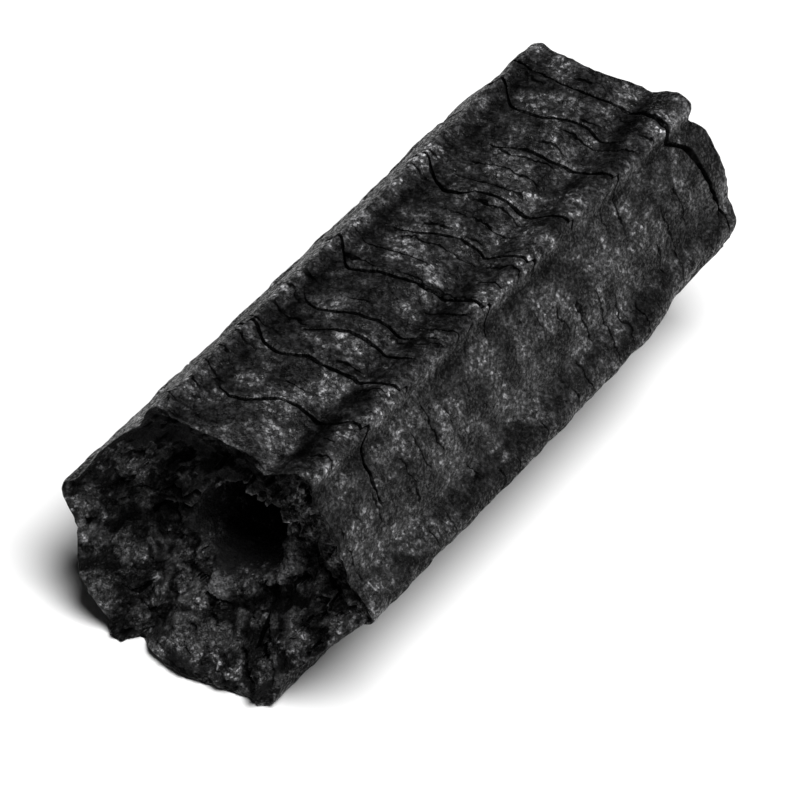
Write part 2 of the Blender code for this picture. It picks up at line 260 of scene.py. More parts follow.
# Each crack's groove, finer than in the solid: its width, how it kinks, its section as pairs of the
# place across it in half widths and the share of its depth, and the edges that it lifts
GROOVE_HALF_WIDTH = 0.00029
LIP_GROOVE_THIN = 0.6
LIP_GROOVE_WIDE = 2.0
LIP_GROOVE_WIDE_AT = 6.15
LIP_GROOVE_WIDE_OVER = 0.50
GROOVE_WIDTH_VARIES = 0.60
GROOVE_WIDTH_WAVES = 14.0
GROOVE_WIDTH_LAYER = 120.0
GROOVE_KINK = 0.00040
GROOVE_KINK_WAVES = 17.0
GROOVE_KINK_LAYER = 80.0
LIP_KINK_LAYER = 95.0
GROOVE_SECTION = ((-1.9, 0.0), (-1.0, 0.15), (-0.6, 0.85), (0.0, 1.0), (0.6, 0.85), (1.0, 0.15), (1.9, 0.0))
LIFTED_EDGE = 0.00022
LIFTED_EDGE_WIDTH = 0.0013
LIFTED_EDGE_REACH = 3 * LIFTED_EDGE_WIDTH

# Fine unevenness of the wall, and chips along the crests
GRAIN = 0.00013
GRAIN_SIZE = 0.0014
SWELL = 0.00030
SWELL_SIZE = 0.0045
CREST_CHIP = 0.00035
CREST_CHIP_SIZE = 0.0022
CREST_CHIP_WIDTH = 0.05
CREST_CHIP_SPARED = 0.15
CREST_CHIP_LAYER = 7.0
CREST_CHIPS_APART = 3.0

# Paler: along the crests, partly rubbed and partly painted highlight, and painted highlight on the flanks'
# swellings and on the nub of the far end's upper ridge
CREST_HIGHLIGHT_AND_WEAR_WIDTH = 0.065
FLANK_HIGHLIGHT = (0.10, 0.58, 0.58, 0.58, 0.58, 0.58)
FLANK_HIGHLIGHT_AT = (0.34, 0.58, 0.58, 0.58, 0.58, 0.58)
FLANK_HIGHLIGHT_WIDTH = 0.14
NUB_HIGHLIGHT = 2.0
NUB_HIGHLIGHT_FROM = 0.0525
NUB_HIGHLIGHT_GROWS = 0.0022
NUB_HIGHLIGHT_WIDTH = 0.13

# Hairline cracks between the long ones: their number along the stick, and how they bow and wander
HAIRLINES = 25
HAIRLINE_BOW = 0.0024
HAIRLINE_WANDER = 0.0008
HAIRLINE_WAVES = 6.0
HAIRLINE_WANDER_SIZE = 0.004
HAIRLINE_LAYER = 31.0

# Grid: lines round the stick and along its loop. The lines between two marks are counted at one place.
LINES_PER_FLANK = 46
CREST_CROWDING = 0.62
GAP_LINE_SPACING = 0.00064
COUNTING_PLACE = 5.0
FRONT_LINES = 46
FAR_LINES = 32
BORE_LINES = 24
END_INSET = 0.012

# One line of the wall: the marks before and after it, which are the same for a line at a mark, the part
# of the way between them, and for a line in a groove its crack, its offset across the groove in half
# widths, and its share of the depth
IN_NO_GROOVE = (0.0, None, 0.0, 0.0)
Line = namedtuple("Line", "low high part crack offset share", defaults=IN_NO_GROOVE)

# One vertex of the surface: how deep it lies in a crack, how far it lies in broken matter (0 on the
# wall, 1 on the ends, 2 in the hole), its course among the hairlines, its darkening (painted shade, and a
# plain darkening of the far end), its paleness, and how much it is lightened along the crests (partly wear)
# and by painted highlight
ON_UNMARKED_WALL = (0.0, 0.0, 0.5, 0.0, 0.0, 0.0)
Spot = namedtuple("Spot", "vertex groove broken course soot pale worn", defaults=ON_UNMARKED_WALL)

# Slant along which the patterns of the matter are drawn out, and by how much
DRAWN_OUT = 1.6
DRAWN_OUT_ALONG = Vector((-0.30, 0.71, -0.64))

# Patterns of the matter: size in metres, detail and roughness
GRAIN_PATTERN = (0.00092, 3.0, 0.65)
SPARKLE_PATTERN = (0.00045, 1.0)
GAP_PATTERN = (0.0021, 3.0, 0.65)
GLINT_SIZE = 0.00055
CLUSTER_PATTERN = (0.0050, 2.0, 0.6)
CLOUD_PATTERN = (0.0050, 3.0, 0.65)
CLUMP_PATTERN = (0.0040, 2.0, 0.6)
BEND_PATTERN = (0.0020,)
STRETCH_PATTERN = (0.0080, 1.0)
COARSE_PATTERN = (0.0019, 3.0, 0.6)
FINE_PATTERN = (0.00060, 2.0, 0.6)

# Ramps: from one value to another, and what they become if that isn't 0 and 1
WALL_TO_BROKEN = (0.3, 0.9)
BROKEN_TO_BORE = (1.2, 1.9)
INTO_GROOVE = (0.03, 0.16)
HAIRLINE_BEND = (0.0, 1.0, -0.22, 0.22)
HAIRLINE_STRETCH = (0.50, 0.58)
HAIRLINE_EDGE = (0.02, 0.075, 1.0, 0.0)
GAP_EDGE = (0.0, 0.022)
GRAIN_SHADE = (0.39, 0.63, 0.0026, 0.021)
GRAIN_LIGHT = (0.36, 0.64, 0.55, 1.9)
GRAIN_ROUGHNESS = (0.36, 0.64, 0.80, 0.34)
LIGHT_OUT_OF_GAPS = (0.0, 1.0, 0.30, 1.0)
GLOSS_OUT_OF_GAPS = (0.0, 1.0, 0.40, 1.0)
GLINT_CLUSTERS = (0.47, 0.60)
CLOUDS = (0.36, 0.64, 0.50, 1.45)
CLUMPS = (0.42, 0.60, 0.15, 1.60)
BETWEEN_HAIRLINES = (0.0, 0.30, 0.75, 1.10)
HIGHLIGHT_AND_WEAR_LIGHT = (0.0, 2.0, 1.0, 3.4)
LIGHT_IN_BLACK = (0.0, 1.0, 1.0, 0.06)
GREY_UNDER_DARKENING_IN_BLACK = (0.0, 1.0, 1.0, 0.4)
PATCH_GLOSS = (0.2, 1.8, 0.09, 0.48)
GLOSS_IN_BLACK = (0.0, 1.0, 1.0, 0.1)
RELIEF_IN_DARKENING = (0.2, 1.0, 1.0, 0.5)

# Ramps from the wall to the broken ends: the strength of the glints, and heights of the finest relief
GLINTS = (0.0, 1.0, 6.5, 9.0)
COARSE_HEIGHT = (0.0, 1.0, 0.00070, 0.00100)
FINE_HEIGHT = (0.0, 1.0, 0.00034, 0.00045)
GRAIN_HEIGHT = (0.0, 1.0, 0.00007, 0.00011)

# Single strengths of the matter. Shades go from 0 for black to 1 for white.
HAIRLINE_DEPTH = 0.00040
GLINT_RARITY = 3.5
HAIRLINE_BLACK = 0.9
GROOVE_BLACK = 0.95
DARKENING_BLACK = 0.90
FRAGMENT_SHADE = 0.075
GREY_UNDER_DARKENING = 0.0100
BORE_SHADE = 0.017
BLUENESS = 1.03

# Floor, just under the stick
FLOOR_SIZE = 12.0
FLOOR_DROP = 0.0001
FLOOR_SHADE = 0.86
FLOOR_ROUGHNESS = 0.9
FLOOR_GLOSS = 0.1

# Camera: its direction from the stick, roll, distance, target and lens
VIEW_AZIMUTH = math.radians(22.92)
VIEW_ELEVATION = math.radians(40.03)
VIEW_ROLL = math.radians(11.67)
VIEW_DISTANCE = 1.040
VIEW_TARGET = Vector((0.0009, -0.0035, 0.0161))
LENS = 316.0
SENSOR = 36.0
VIEW_REACH = 50.0

# Light: a wide key from above and the right, and a room that is brighter along the horizon
KEY_DIRECTION = (0.27, -0.20, 0.94)
KEY_SPREAD = math.radians(34)
KEY_STRENGTH = 4.5
ROOM_LIGHT = 0.17
HORIZON_LIGHT = 1.0
HORIZON_BAND = 0.12


def blend(a, b, part):
    """Value a part of the way from a to b."""
    return a + (b - a) * part


def smooth(part):
    """Rise from 0 to 1 that starts and ends gently."""
    part = min(max(part, 0.0), 1.0)
    return part * part * (3 - 2 * part)


def bell(distance, width):
    """1 at no distance, and falling to 0 within a few widths."""
    return math.exp(-((distance / width) ** 2))


def turn_between(angle, middle):
    """Angle from middle, between minus and plus half a turn."""
    return (angle - middle + math.pi) % math.tau - math.pi


def flank_and_part(place):
    """Flank number, and the part of the way across it."""
    whole = math.floor(place)
    return int(whole) % SIDES, place - whole


def crest_gap(place):
    """Distance to the nearest crest, in flanks."""
    part = place - math.floor(place)
    return min(part, 1 - part)


def from_crest(place, number):
    """Distance to one crest, in flanks, the short way round."""
    return abs((place - number + SIDES / 2) % SIDES - SIDES / 2)


def ring_noise(place, layer, waves):
    """Unevenness round the stick that closes on itself."""
    angle = math.tau * place / SIDES
    return noise.noise(Vector((waves * math.cos(angle), waves * math.sin(angle), layer)))


def crest(number, y):
    """Point of a ridge's crest in the section at y, from the stick's axis; ridge 1 points to +X."""
    angle = math.radians(360 / SIDES * (1 - number))
    spot = Vector((RIDGES_APART * (number % SIDES), y / CREST_WANDER_LENGTH, 0.0))
    return Vector((math.cos(angle), math.sin(angle))) * (CREST_RADIUS + CREST_WANDER * noise.noise(spot))


def flank_depth(flank, part):
    """Depth of a flank below the straight line between its two crests."""
    if part < VALLEY_AT:
        return VALLEY_DEPTH * smooth(part / VALLEY_AT)
    if part < CROWN_AT:
        return blend(VALLEY_DEPTH, CROWN_DEPTH[flank], smooth((part - VALLEY_AT) / (CROWN_AT - VALLEY_AT)))
    if part < CREASE_AT:
        fall = ((part - CROWN_AT) / (CREASE_AT - CROWN_AT)) ** CREASE_APPROACH
        return blend(CROWN_DEPTH[flank], CREASE_DEPTH[flank], fall)
    climb = max(0.0, (SHOULDER_AT - part) / (SHOULDER_AT - CREASE_AT))
    return CREASE_DEPTH[flank] * climb ** CREASE_EXIT


def ridge_wear(place, y):
    """Loss of the right ridge, which is rubbed down towards the far end."""
    grown = smooth((y - RIDGE_WEAR_FROM) / RIDGE_WEAR_GROWS)
    return RIDGE_WEAR * grown * bell(from_crest(place, 1), RIDGE_WEAR_WIDTH)


def swings(features, place):
    """Shift of a rim along the stick by its tongues and bites."""
    return sum(swing.shift * bell(from_crest(place, swing.place), swing.width) for swing in features)


def wall_point(place, y):
    """Point of the outer wall in the section at y, from the stick's axis."""
    flank, part = flank_and_part(place)
    start = crest(flank, y)
    along = crest(flank + 1, y) - start
    outward = Vector((-along.y, along.x)).normalized()
    rounded = CREST_ROUNDING * max(0.0, 1 - crest_gap(place) * along.length / CREST_ROUNDED_WIDTH) ** 2
    nearest = (start if part < 0.5 else start + along).normalized()
    point = start + along * part
    lumps = FLANK_LUMPS * noise.noise(Vector((point.x, y, point.y)) / FLANK_LUMP_SIZE)
    return point + outward * (lumps - flank_depth(flank, part)) - nearest * (rounded + ridge_wear(place, y))


def front_rim(place):
    """Station of the front end's rim."""
    flank, part = flank_and_part(place)
    setback = blend(FRONT_SETBACK[flank], FRONT_SETBACK[(flank + 1) % SIDES], smooth(part))
    uneven = RIM_UNEVEN * ring_noise(place, FRONT_RIM_LAYER, RIM_WAVES)
    chips = RIM_CHIP * ring_noise(place, FRONT_CHIP_LAYER, RIM_CHIP_WAVES)
    return FRONT_Y + setback + swings(FRONT_SWINGS, place) + uneven + chips


def far_rim(place):
    """Station of the far end's rim: a slant with bites."""
    uneven = RIM_UNEVEN * ring_noise(place, FAR_RIM_LAYER, RIM_WAVES)
    chips = RIM_CHIP * ring_noise(place, FAR_CHIP_LAYER, RIM_CHIP_WAVES)
    return FAR_Y + FAR_SLANT * wall_point(place, FAR_Y).x + swings(FAR_SWINGS, place) + uneven + chips


def kink(place, layer):
    """Shift of a crack by its small kinks."""
    return GROOVE_KINK * ring_noise(place, layer, GROOVE_KINK_WAVES)


def climb_over_ridge(place):
    """Shift of the cracks towards the far end where they cross a ridge."""
    return CRACK_CLIMB[round(place) % SIDES] * bell(crest_gap(place), CRACK_CLIMB_WIDTH)


def crack_station(number, place):
    """Station of a crack: it arches over each flank and climbs over each ridge."""
    flank, part = flank_and_part(place)
    shape = (math.cos(math.pi * (part - CRACK_ARCH_LOW)) ** 2) ** CRACK_ARCH_SHAPE
    dip = shape * smooth(part / CRACK_ARCH_EDGE)
    varied = ring_noise(place, CRACK_ARCH_LAYER + CRACK_ARCHES_APART * number, RIM_WAVES)
    arch = CRACK_ARCH[flank] * (1 + CRACK_ARCH_VARIES * varied)
    wander_layer = CRACK_WANDER_LAYER + CRACK_WANDERS_APART * number
    wander = CRACK_WANDER * ring_noise(place, wander_layer, CRACK_WANDER_WAVES)
    station = CRACKS[number].station - arch * dip + climb_over_ridge(place) + wander
    return station + kink(place, GROOVE_KINK_LAYER + number)


def lip_station(place):
    """Station of the crack behind the far end's lip."""
    swing = math.cos(math.tau * (place - LIP_INSET_SWING_AT) / SIDES)
    bend = LIP_BEND * bell(from_crest(place, LIP_BEND_AT), LIP_BEND_WIDTH)
    bend -= LIP_REJOIN * bell(from_crest(place, LIP_REJOIN_AT), LIP_REJOIN_WIDTH)
    return far_rim(place) - LIP_INSET - LIP_INSET_SWING * swing - bend + kink(place, LIP_KINK_LAYER)


def reach(crack, place):
    """How open a crack is at a place: 1 along its arcs, fading to 0 past their ends."""
    opened = 0.0
    for start, stop in crack.arcs:
        middle = (start + stop) / 2
        beyond = from_crest(place, middle) - (stop - start) / 2
        opened = max(opened, smooth(-beyond / CRACK_FADE))
    return opened


def mark_stations(place):
    """Stations of the marks along the wall: the front rim, each crack, the lip's crack, the far rim."""
    marks = [front_rim(place) + RIM_ROUNDING]
    marks += [crack_station(number, place) for number in range(len(CRACKS))]
    return marks + [lip_station(place), far_rim(place) - RIM_ROUNDING]


def wall_lines():
    """Lines along the wall: one at each rim, several in each crack's groove, and more between them."""
    cracks = [None, *CRACKS, LIP_CRACK, None]
    usual = mark_stations(COUNTING_PLACE)
    lines = [Line(0, 0)]
    for mark in range(1, len(cracks)):
        count = int((usual[mark] - usual[mark - 1]) / GAP_LINE_SPACING)
        lines += [Line(mark - 1, mark, step / count) for step in range(1, count)]
        if cracks[mark]:
            lines += [Line(mark, mark, 0.0, cracks[mark], offset, share) for offset, share in GROOVE_SECTION]
    return lines + [Line(len(cracks) - 1, len(cracks) - 1)]


def groove_half_width(place, mark):
    """Half the width of a groove; the lip's is widest over the upper right ridge."""
    near = bell(from_crest(place, LIP_GROOVE_WIDE_AT), LIP_GROOVE_WIDE_OVER)
    widest = blend(LIP_GROOVE_THIN, LIP_GROOVE_WIDE, near) if mark > len(CRACKS) else 1.0
    varied = 1 + GROOVE_WIDTH_VARIES * ring_noise(place, GROOVE_WIDTH_LAYER + mark, GROOVE_WIDTH_WAVES)
    return GROOVE_HALF_WIDTH * widest * varied


def groove_room(mark):
    """Half the length along the wall that the lines of a mark's groove may take."""
    if mark == 0 or mark > len(CRACKS) + 1:
        return 0.0
    widest = LIP_GROOVE_WIDE if mark > len(CRACKS) else 1.0
    return GROOVE_SECTION[-1][0] * GROOVE_HALF_WIDTH * widest * (1 + GROOVE_WIDTH_VARIES)


def crest_chip(place, y):
    """Small losses along the crests."""
    beside = bell(crest_gap(place), CREST_CHIP_WIDTH)
    spot = Vector((CREST_CHIPS_APART * round(place), y / CREST_CHIP_SIZE, CREST_CHIP_LAYER))
    return CREST_CHIP * beside * max(0.0, noise.noise(spot) - CREST_CHIP_SPARED)


def lifted_edge(place, y, marks):
    """Edges of the cracks, slightly lifted, for the nearest crack that is open here."""
    lifted = 0.0
    for number, crack in enumerate([*CRACKS, LIP_CRACK]):
        away = abs(y - marks[number + 1])
        if away < LIFTED_EDGE_REACH:
            lifted = max(lifted, bell(away, LIFTED_EDGE_WIDTH) * reach(crack, place))
    return LIFTED_EDGE * lifted


def wall_painted_shade(place, y):
    """Painted shade beside each ridge, under the right one, and on the upper right flank, most on its far
    part.
    """
    flank, part = flank_and_part(place)
    spot = Vector((FLANKS_APART * flank, y / CREASE_PATCH_SIZE, CREASE_PATCH_LAYER))
    patch = CREASE_PATCH_SHARE + noise.noise(spot)
    crease = CREASE_PAINTED_SHADE[flank] * bell(part - CREASE_PAINTED_SHADE_AT, CREASE_PAINTED_SHADE_WIDTH) * min(1.0, max(0.0, patch))
    far_place, far_y = FAR_PATCH_AT
    far = FAR_PATCH * bell(from_crest(place, far_place), FAR_PATCH_WIDTH) * bell(y - far_y, FAR_PATCH_LENGTH)
    valley = VALLEY_PAINTED_SHADE * bell(part - VALLEY_PAINTED_SHADE_AT, VALLEY_PAINTED_SHADE_WIDTH)
    under = UNDER_PAINTED_SHADE * bell(from_crest(place, UNDER_PAINTED_SHADE_AT), UNDER_PAINTED_SHADE_WIDTH)
    right = RIGHT_PAINTED_SHADE * bell(from_crest(place, RIGHT_PAINTED_SHADE_AT), RIGHT_PAINTED_SHADE_WIDTH)
    return max(crease, far, valley, under, right)


def painted_highlight_and_wear(place, y):
    """Paler along the crests, partly wear and partly painted highlight, with painted highlight on the
    flanks' swellings, strongest on the far end's nub.
    """
    flank, part = flank_and_part(place)
    flanks = FLANK_HIGHLIGHT[flank] * bell(part - FLANK_HIGHLIGHT_AT[flank], FLANK_HIGHLIGHT_WIDTH)
    nub = bell(from_crest(place, 0), NUB_HIGHLIGHT_WIDTH) * smooth((y - NUB_HIGHLIGHT_FROM) / NUB_HIGHLIGHT_GROWS)
    return max(flanks, NUB_HIGHLIGHT * nub, bell(crest_gap(place), CREST_HIGHLIGHT_AND_WEAR_WIDTH))


def line_station(place, line, marks):
    """Station of a line of the wall: at its mark, or on the way between the grooves of its two marks."""
    if line.low == line.high:
        return marks[line.low] + line.offset * groove_half_width(place, line.low)
    start = marks[line.low] + groove_room(line.low)
    return blend(start, marks[line.high] - groove_room(line.high), line.part)


def wall_vertex(place, line, marks):
    """Vertex of the outer wall on one of its lines."""
    y = line_station(place, line, marks)
    groove = line.share * reach(line.crack, place) if line.crack else 0.0
    point = wall_point(place, y)
    spot = Vector((point.x, y, point.y))
    grain = GRAIN * noise.noise(spot / GRAIN_SIZE)
    swell = SWELL * noise.noise(spot / SWELL_SIZE)
    height = grain + swell + lifted_edge(place, y, marks) - crest_chip(place, y)
    if line.crack:
        height -= line.crack.depth * groove
    point += point.normalized() * height
    vertex = Vector((point.x, y, max(0.0, point.y + AXIS_HEIGHT)))
    course = hairline_course(place, y)
    return Spot(vertex, groove=groove, course=course, soot=wall_painted_shade(place, y), worn=painted_highlight_and_wear(place, y))


def facets(x, z, layer, size, slope, step):
    """Flat facets, each tilted its own way and raised or sunk against its neighbours."""
    spot = Vector((x / size, layer, z / size))
    nearest = noise.voronoi(spot)[1][0]
    tilt = noise.cell_vector(nearest * FACET_SCATTER) - Vector((0.5, 0.5, 0.5))
    away = spot - nearest
    return size * (slope * (tilt.x * away.x + tilt.y * away.z) + step * tilt.z)


def broken_surface(x, z, layer):
    """Lumps, chips and facets of a broken end."""
    lumps = BREAK_LUMPS * noise.noise(Vector((x, layer, z)) / BREAK_LUMP_SIZE)
    chips = BREAK_CHIPS * noise.noise(Vector((x, layer, z)) / BREAK_CHIP_SIZE)
    return lumps + chips + facets(x, z, layer, FACET_SIZE, FACET_SLOPE, FACET_STEP)


def crevice_share(x, z, layer):
    """How far a spot of a broken end lies in a crevice, which opens in patches."""
    spot = Vector((x, layer + CREVICE_SHIFT, z))
    patch = noise.noise(spot / CREVICE_PATCH_SIZE + CREVICE_PATCH_SHIFT)
    opened = smooth(CREVICE_PATCH_STEEPNESS * patch + CREVICE_PATCH_SHARE)
    return opened * bell(noise.noise(spot / CREVICE_SIZE), CREVICE_WIDTH)


def splinters(x, z, layer):
    """Fine relief of a broken end."""
    fine = facets(x, z, layer + SPLINTER_SHIFT, SPLINTER_SIZE, SPLINTER_SLOPE, SPLINTER_STEP)
    crumbs = CRUMB * noise.noise(Vector((x, layer, z)) / CRUMB_SIZE)
    return fine + crumbs - CREVICE * crevice_share(x, z, layer)


def ledge_share(x, z):
    """How far a spot of the dish lies on the ledge beside the hole."""
    beside = bell(turn_between(math.atan2(z, x), LEDGE_ANGLE), LEDGE_SPREAD)
    return bell(math.hypot(x, z) - LEDGE_RADIUS, LEDGE_WIDTH) * beside


def block_share(x, z):
    """How far a spot of the dish lies on the block under the hole."""
    off_block = max(abs(x - BLOCK_X), abs(z - BLOCK_Z))
    return smooth(BLOCK_STEEPNESS * (1 - off_block / BLOCK_HALF_SIZE))


def dish_relief(x, z):
    """Ledge, trough, block and streaks, as a height towards the front."""
    radius = math.hypot(x, z)
    angle = math.atan2(z, x)
    below = bell(turn_between(angle, TROUGH_ANGLE), TROUGH_SPREAD)
    trough = TROUGH * bell(radius - TROUGH_RADIUS, TROUGH_WIDTH) * below
    across = radius * turn_between(angle, STREAK_ANGLE)
    streak = STREAK * math.sin(math.tau * across / STREAK_PITCH) * bell(across / radius, STREAK_SPREAD)
    return LEDGE * ledge_share(x, z) - trough + BLOCK * block_share(x, z) + streak


def inward(outer, mouth, part):
    """Part of the way in that sets the depth: by the rim's outline at first, round farther in."""
    round_part = (MEAN_RADIUS - blend(outer, mouth, part)) / (MEAN_RADIUS - mouth)
    return min(1.0, max(0.0, blend(part, round_part, smooth(part / ROUND_FROM))))


def front_vertex(place, part):
    """Vertex of the front end, from its rim (0) to the mouth of the hole (1)."""
    rim = wall_point(place, FRONT_Y)
    angle = math.atan2(rim.y, rim.x)
    mouth = MOUTH_RADIUS + MOUTH_FLARE * bell(turn_between(angle, MOUTH_FLARE_ANGLE), MOUTH_FLARE_SPREAD)
    point = rim.lerp(rim.normalized() * mouth, part)
    steepness = DISH_SHAPE + DISH_SHAPE_SWING * math.cos(turn_between(angle, DISH_STEEPEST_ANGLE))
    beneath = bell(turn_between(angle, BEVEL_ANGLE), BEVEL_SPREAD)
    bevel = BEVEL * beneath * smooth(part / BEVEL_PART)
    depth = DISH_DEPTH * (1 - (1 - inward(rim.length, mouth, part)) ** steepness) - bevel * (1 - part)
    inside = smooth(part / LUMPS_FROM)
    relief = inside * dish_relief(point.x, point.y)
    pale = inside * max(ledge_share(point.x, point.y), block_share(point.x, point.y))
    uneven = inside * (1 - pale) * broken_surface(point.x, point.y, FRONT_LAYER)
    rough = smooth(part / SPLINTERS_FROM) * (1 - SMOOTH_FRAGMENTS * pale)
    fine = rough * splinters(point.x, point.y, FRONT_LAYER)
    y = blend(front_rim(place), FRONT_Y, smooth(part / RIM_FADE)) + depth - relief - uneven - fine
    # Painted shade over the dish: none past the hole towards the lit lower left, darkest in the upper left
    # recess, thin elsewhere, a band inside the lower rim on the bevel that is in shade, and none on the pale
    # fragments
    unshaded = smooth((point.length - UNSHADED_RADIUS) / UNSHADED_BLEND)
    soot = 1 - unshaded * bell(turn_between(angle, UNSHADED_ANGLE), UNSHADED_SPREAD)
    soot *= blend(THIN_PAINTED_SHADE, 1.0, bell(turn_between(angle, PAINTED_SHADE_ANGLE), PAINTED_SHADE_SPREAD))
    rim_painted_shade = RIM_PAINTED_SHADE * beneath * bell(part - RIM_PAINTED_SHADE_PART, RIM_PAINTED_SHADE_WIDTH)
    soot = max(soot, rim_painted_shade) * (1 - pale)
    groove = crevice_share(point.x, point.y, FRONT_LAYER) ** CREVICE_CORE * inside * (1 - pale)
    vertex = Vector((point.x, y, max(0.0, point.y + AXIS_HEIGHT)))
    return Spot(vertex, groove=groove, broken=1.0, soot=soot, pale=pale)


def far_vertex(place, part):
    """Vertex of the far end, from its rim (0) to the mouth of the hole (1)."""
    rim = wall_point(place, FAR_Y)
    point = rim.lerp(rim.normalized() * FAR_MOUTH_RADIUS, part)
    depth = FAR_DISH_DEPTH * inward(rim.length, FAR_MOUTH_RADIUS, part) ** FAR_DISH_SHAPE
    uneven = smooth(part / LUMPS_FROM) * broken_surface(point.x, point.y, FAR_LAYER)
    fine = smooth(part / FAR_SPLINTERS_FROM) * splinters(point.x, point.y, FAR_LAYER)
    y = blend(far_rim(place), FAR_Y + FAR_SLANT * point.x, smooth(part / RIM_FADE)) - depth + uneven + fine
    vertex = Vector((point.x, y, max(0.0, point.y + AXIS_HEIGHT)))
    groove = crevice_share(point.x, point.y, FAR_LAYER) ** CREVICE_CORE
    return Spot(vertex, groove=groove, broken=1.0, soot=FAR_DARKENING)


def bore_vertex(place, part, far_y, front_y):
    """Vertex of the hole's wall, from the far mouth (0) to the front mouth (1)."""
    rim = wall_point(place, FRONT_Y)
    y = blend(far_y, front_y, part)
    wander = BORE_WANDER * noise.noise(Vector((rim.x, y, rim.y)) / FLANK_LUMP_SIZE)
    grain = GRAIN * noise.noise(Vector((rim.x, y, rim.y)) / SWELL_SIZE)
    point = rim.normalized() * (BORE_RADIUS + wander + grain)
    return Spot(Vector((point.x, y, point.y + AXIS_HEIGHT)), broken=2.0)


def hairline_course(place, y):
    """Rises by one from each hairline to the next, so that a whole number is on a hairline."""
    part = place - math.floor(place)
    bow = HAIRLINE_BOW * math.cos(math.pi * (part - CRACK_ARCH_LOW)) ** 2
    spot = Vector((HAIRLINE_WAVES * place, y / HAIRLINE_WANDER_SIZE, HAIRLINE_LAYER))
    station = y + bow - climb_over_ridge(place) + HAIRLINE_WANDER * noise.noise(spot)
    return (station - FRONT_Y) / (FAR_Y - FRONT_Y) * HAIRLINES


def places_round():
    """Places of the lines round the stick, closer together at the crests."""
    places = []
    for flank in range(SIDES):
        for line in range(LINES_PER_FLANK):
            even = line / LINES_PER_FLANK
            places.append(flank + even - CREST_CROWDING * math.sin(math.tau * even) / math.tau)
    return places


def ways_in(lines):
    """Parts of the way in from an end's rim to its mouth, one for each line."""
    return [blend(END_INSET, 1.0, line / (lines - 1)) for line in range(lines)]


def loop_at(place, lines):
    """Closed loop at a place, along the wall, down the far end, the hole and the front end."""
    marks = mark_stations(place)
    loop = [wall_vertex(place, line, marks) for line in lines]
    loop += [far_vertex(place, part) for part in ways_in(FAR_LINES)]
    far_y = loop[-1].vertex.y
    front = [front_vertex(place, part) for part in reversed(ways_in(FRONT_LINES))]
    for step in range(BORE_LINES):
        part = smooth((step + 0.5) / BORE_LINES)
        loop.append(bore_vertex(place, part, far_y, front[0].vertex.y))
    return loop + front


def charcoal_surface():
    """The stick's surface: a grid of faces that closes both ways, with its attributes."""
    lines = wall_lines()
    loops = [loop_at(place, lines) for place in places_round()]
    round_count, loop_count = len(loops), len(loops[0])
    spots = [spot for loop in loops for spot in loop]
    faces = []
    for ring in range(round_count):
        for step in range(loop_count):
            here, beyond = ring * loop_count, (ring + 1) % round_count * loop_count
            after = (step + 1) % loop_count
            faces.append((here + step, here + after, beyond + after, beyond + step))
    mesh = bpy.data.meshes.new("charcoal_surface")
    mesh.from_pydata([spot.vertex for spot in spots], [], faces)
    for name in Spot._fields[1:]:
        attribute = mesh.attributes.new(name, "FLOAT", "POINT")
        attribute.data.foreach_set("value", [getattr(spot, name) for spot in spots])
    mesh.shade_smooth()
    piece = bpy.data.objects.new("charcoal_surface", mesh)
    bpy.context.scene.collection.objects.link(piece)
    return piece


class Nodes:
    """Short ways to add shader nodes to a material."""

    def __init__(self, material):
        """Start from the material's own shader."""
        material.use_nodes = True
        self.tree = material.node_tree
        self.shader = self.tree.nodes["Principled BSDF"]

    def put(self, socket, value):
        """Link a socket to another, or set its value."""
        if isinstance(value, bpy.types.NodeSocket):
            self.tree.links.new(value, socket)
        else:
            socket.default_value = value

    def add(self, kind, output, inputs, **settings):
        """Add a node and return one of its outputs."""
        node = self.tree.nodes.new(kind)
        for name, value in settings.items():
            setattr(node, name, value)
        for name, value in inputs.items():
            self.put(node.inputs[name], value)
        return node.outputs[output]

    def calc(self, operation, a, b=0.0):
        """Result of an operation on one or two values."""
        return self.add("ShaderNodeMath", 0, {0: a, 1: b}, operation=operation)

    def times(self, first, *others):
        """Product of several values."""
        for other in others:
            first = self.calc("MULTIPLY", first, other)
        return first

    def ramp(self, value, low, high, to_low=0.0, to_high=1.0):
        """Gentle rise or fall between two values."""
        inputs = {"Value": value, "From Min": low, "From Max": high, "To Min": to_low, "To Max": to_high}
        return self.add("ShaderNodeMapRange", 0, inputs, interpolation_type="SMOOTHSTEP")

    def noise(self, where, size, detail=2.0, roughness=0.5):
        """Cloudy pattern of a size in metres."""
        inputs = {"Vector": where, "Scale": 1 / size, "Detail": detail, "Roughness": roughness}
        return self.add("ShaderNodeTexNoise", 0, inputs)

    def cells(self, where, size):
        """Cells of a size in metres, each with a colour of its own."""
        return self.add("ShaderNodeTexVoronoi", "Color", {"Vector": where, "Scale": 1 / size}, feature="F1")

    def attribute(self, name):
        """Value that the surface carries at each vertex."""
        return self.add("ShaderNodeAttribute", "Fac", {}, attribute_name=name)


def drawn_out_place(n):
    """Place on the surface, drawn out along the slant, where the patterns are looked up."""
    slant = DRAWN_OUT_ALONG.to_track_quat("Y", "Z").to_euler()
    place = n.add("ShaderNodeTexCoord", "Object", {})
    inputs = {"Vector": place, "Rotation": slant, "Scale": (1.0, DRAWN_OUT, 1.0)}
    return n.add("ShaderNodeMapping", 0, inputs, vector_type="TEXTURE")


def hairlines(n, where, wall):
    """Distance from the nearest hairline, from 0 to 0.5, and how much of a hairline is there."""
    bend = n.ramp(n.noise(where, *BEND_PATTERN), *HAIRLINE_BEND)
    from_line = n.calc("PINGPONG", n.calc("ADD", n.attribute("course"), bend), 0.5)
    stretch = n.ramp(n.noise(where, *STRETCH_PATTERN), *HAIRLINE_STRETCH)
    return from_line, n.times(n.ramp(from_line, *HAIRLINE_EDGE), stretch, wall)


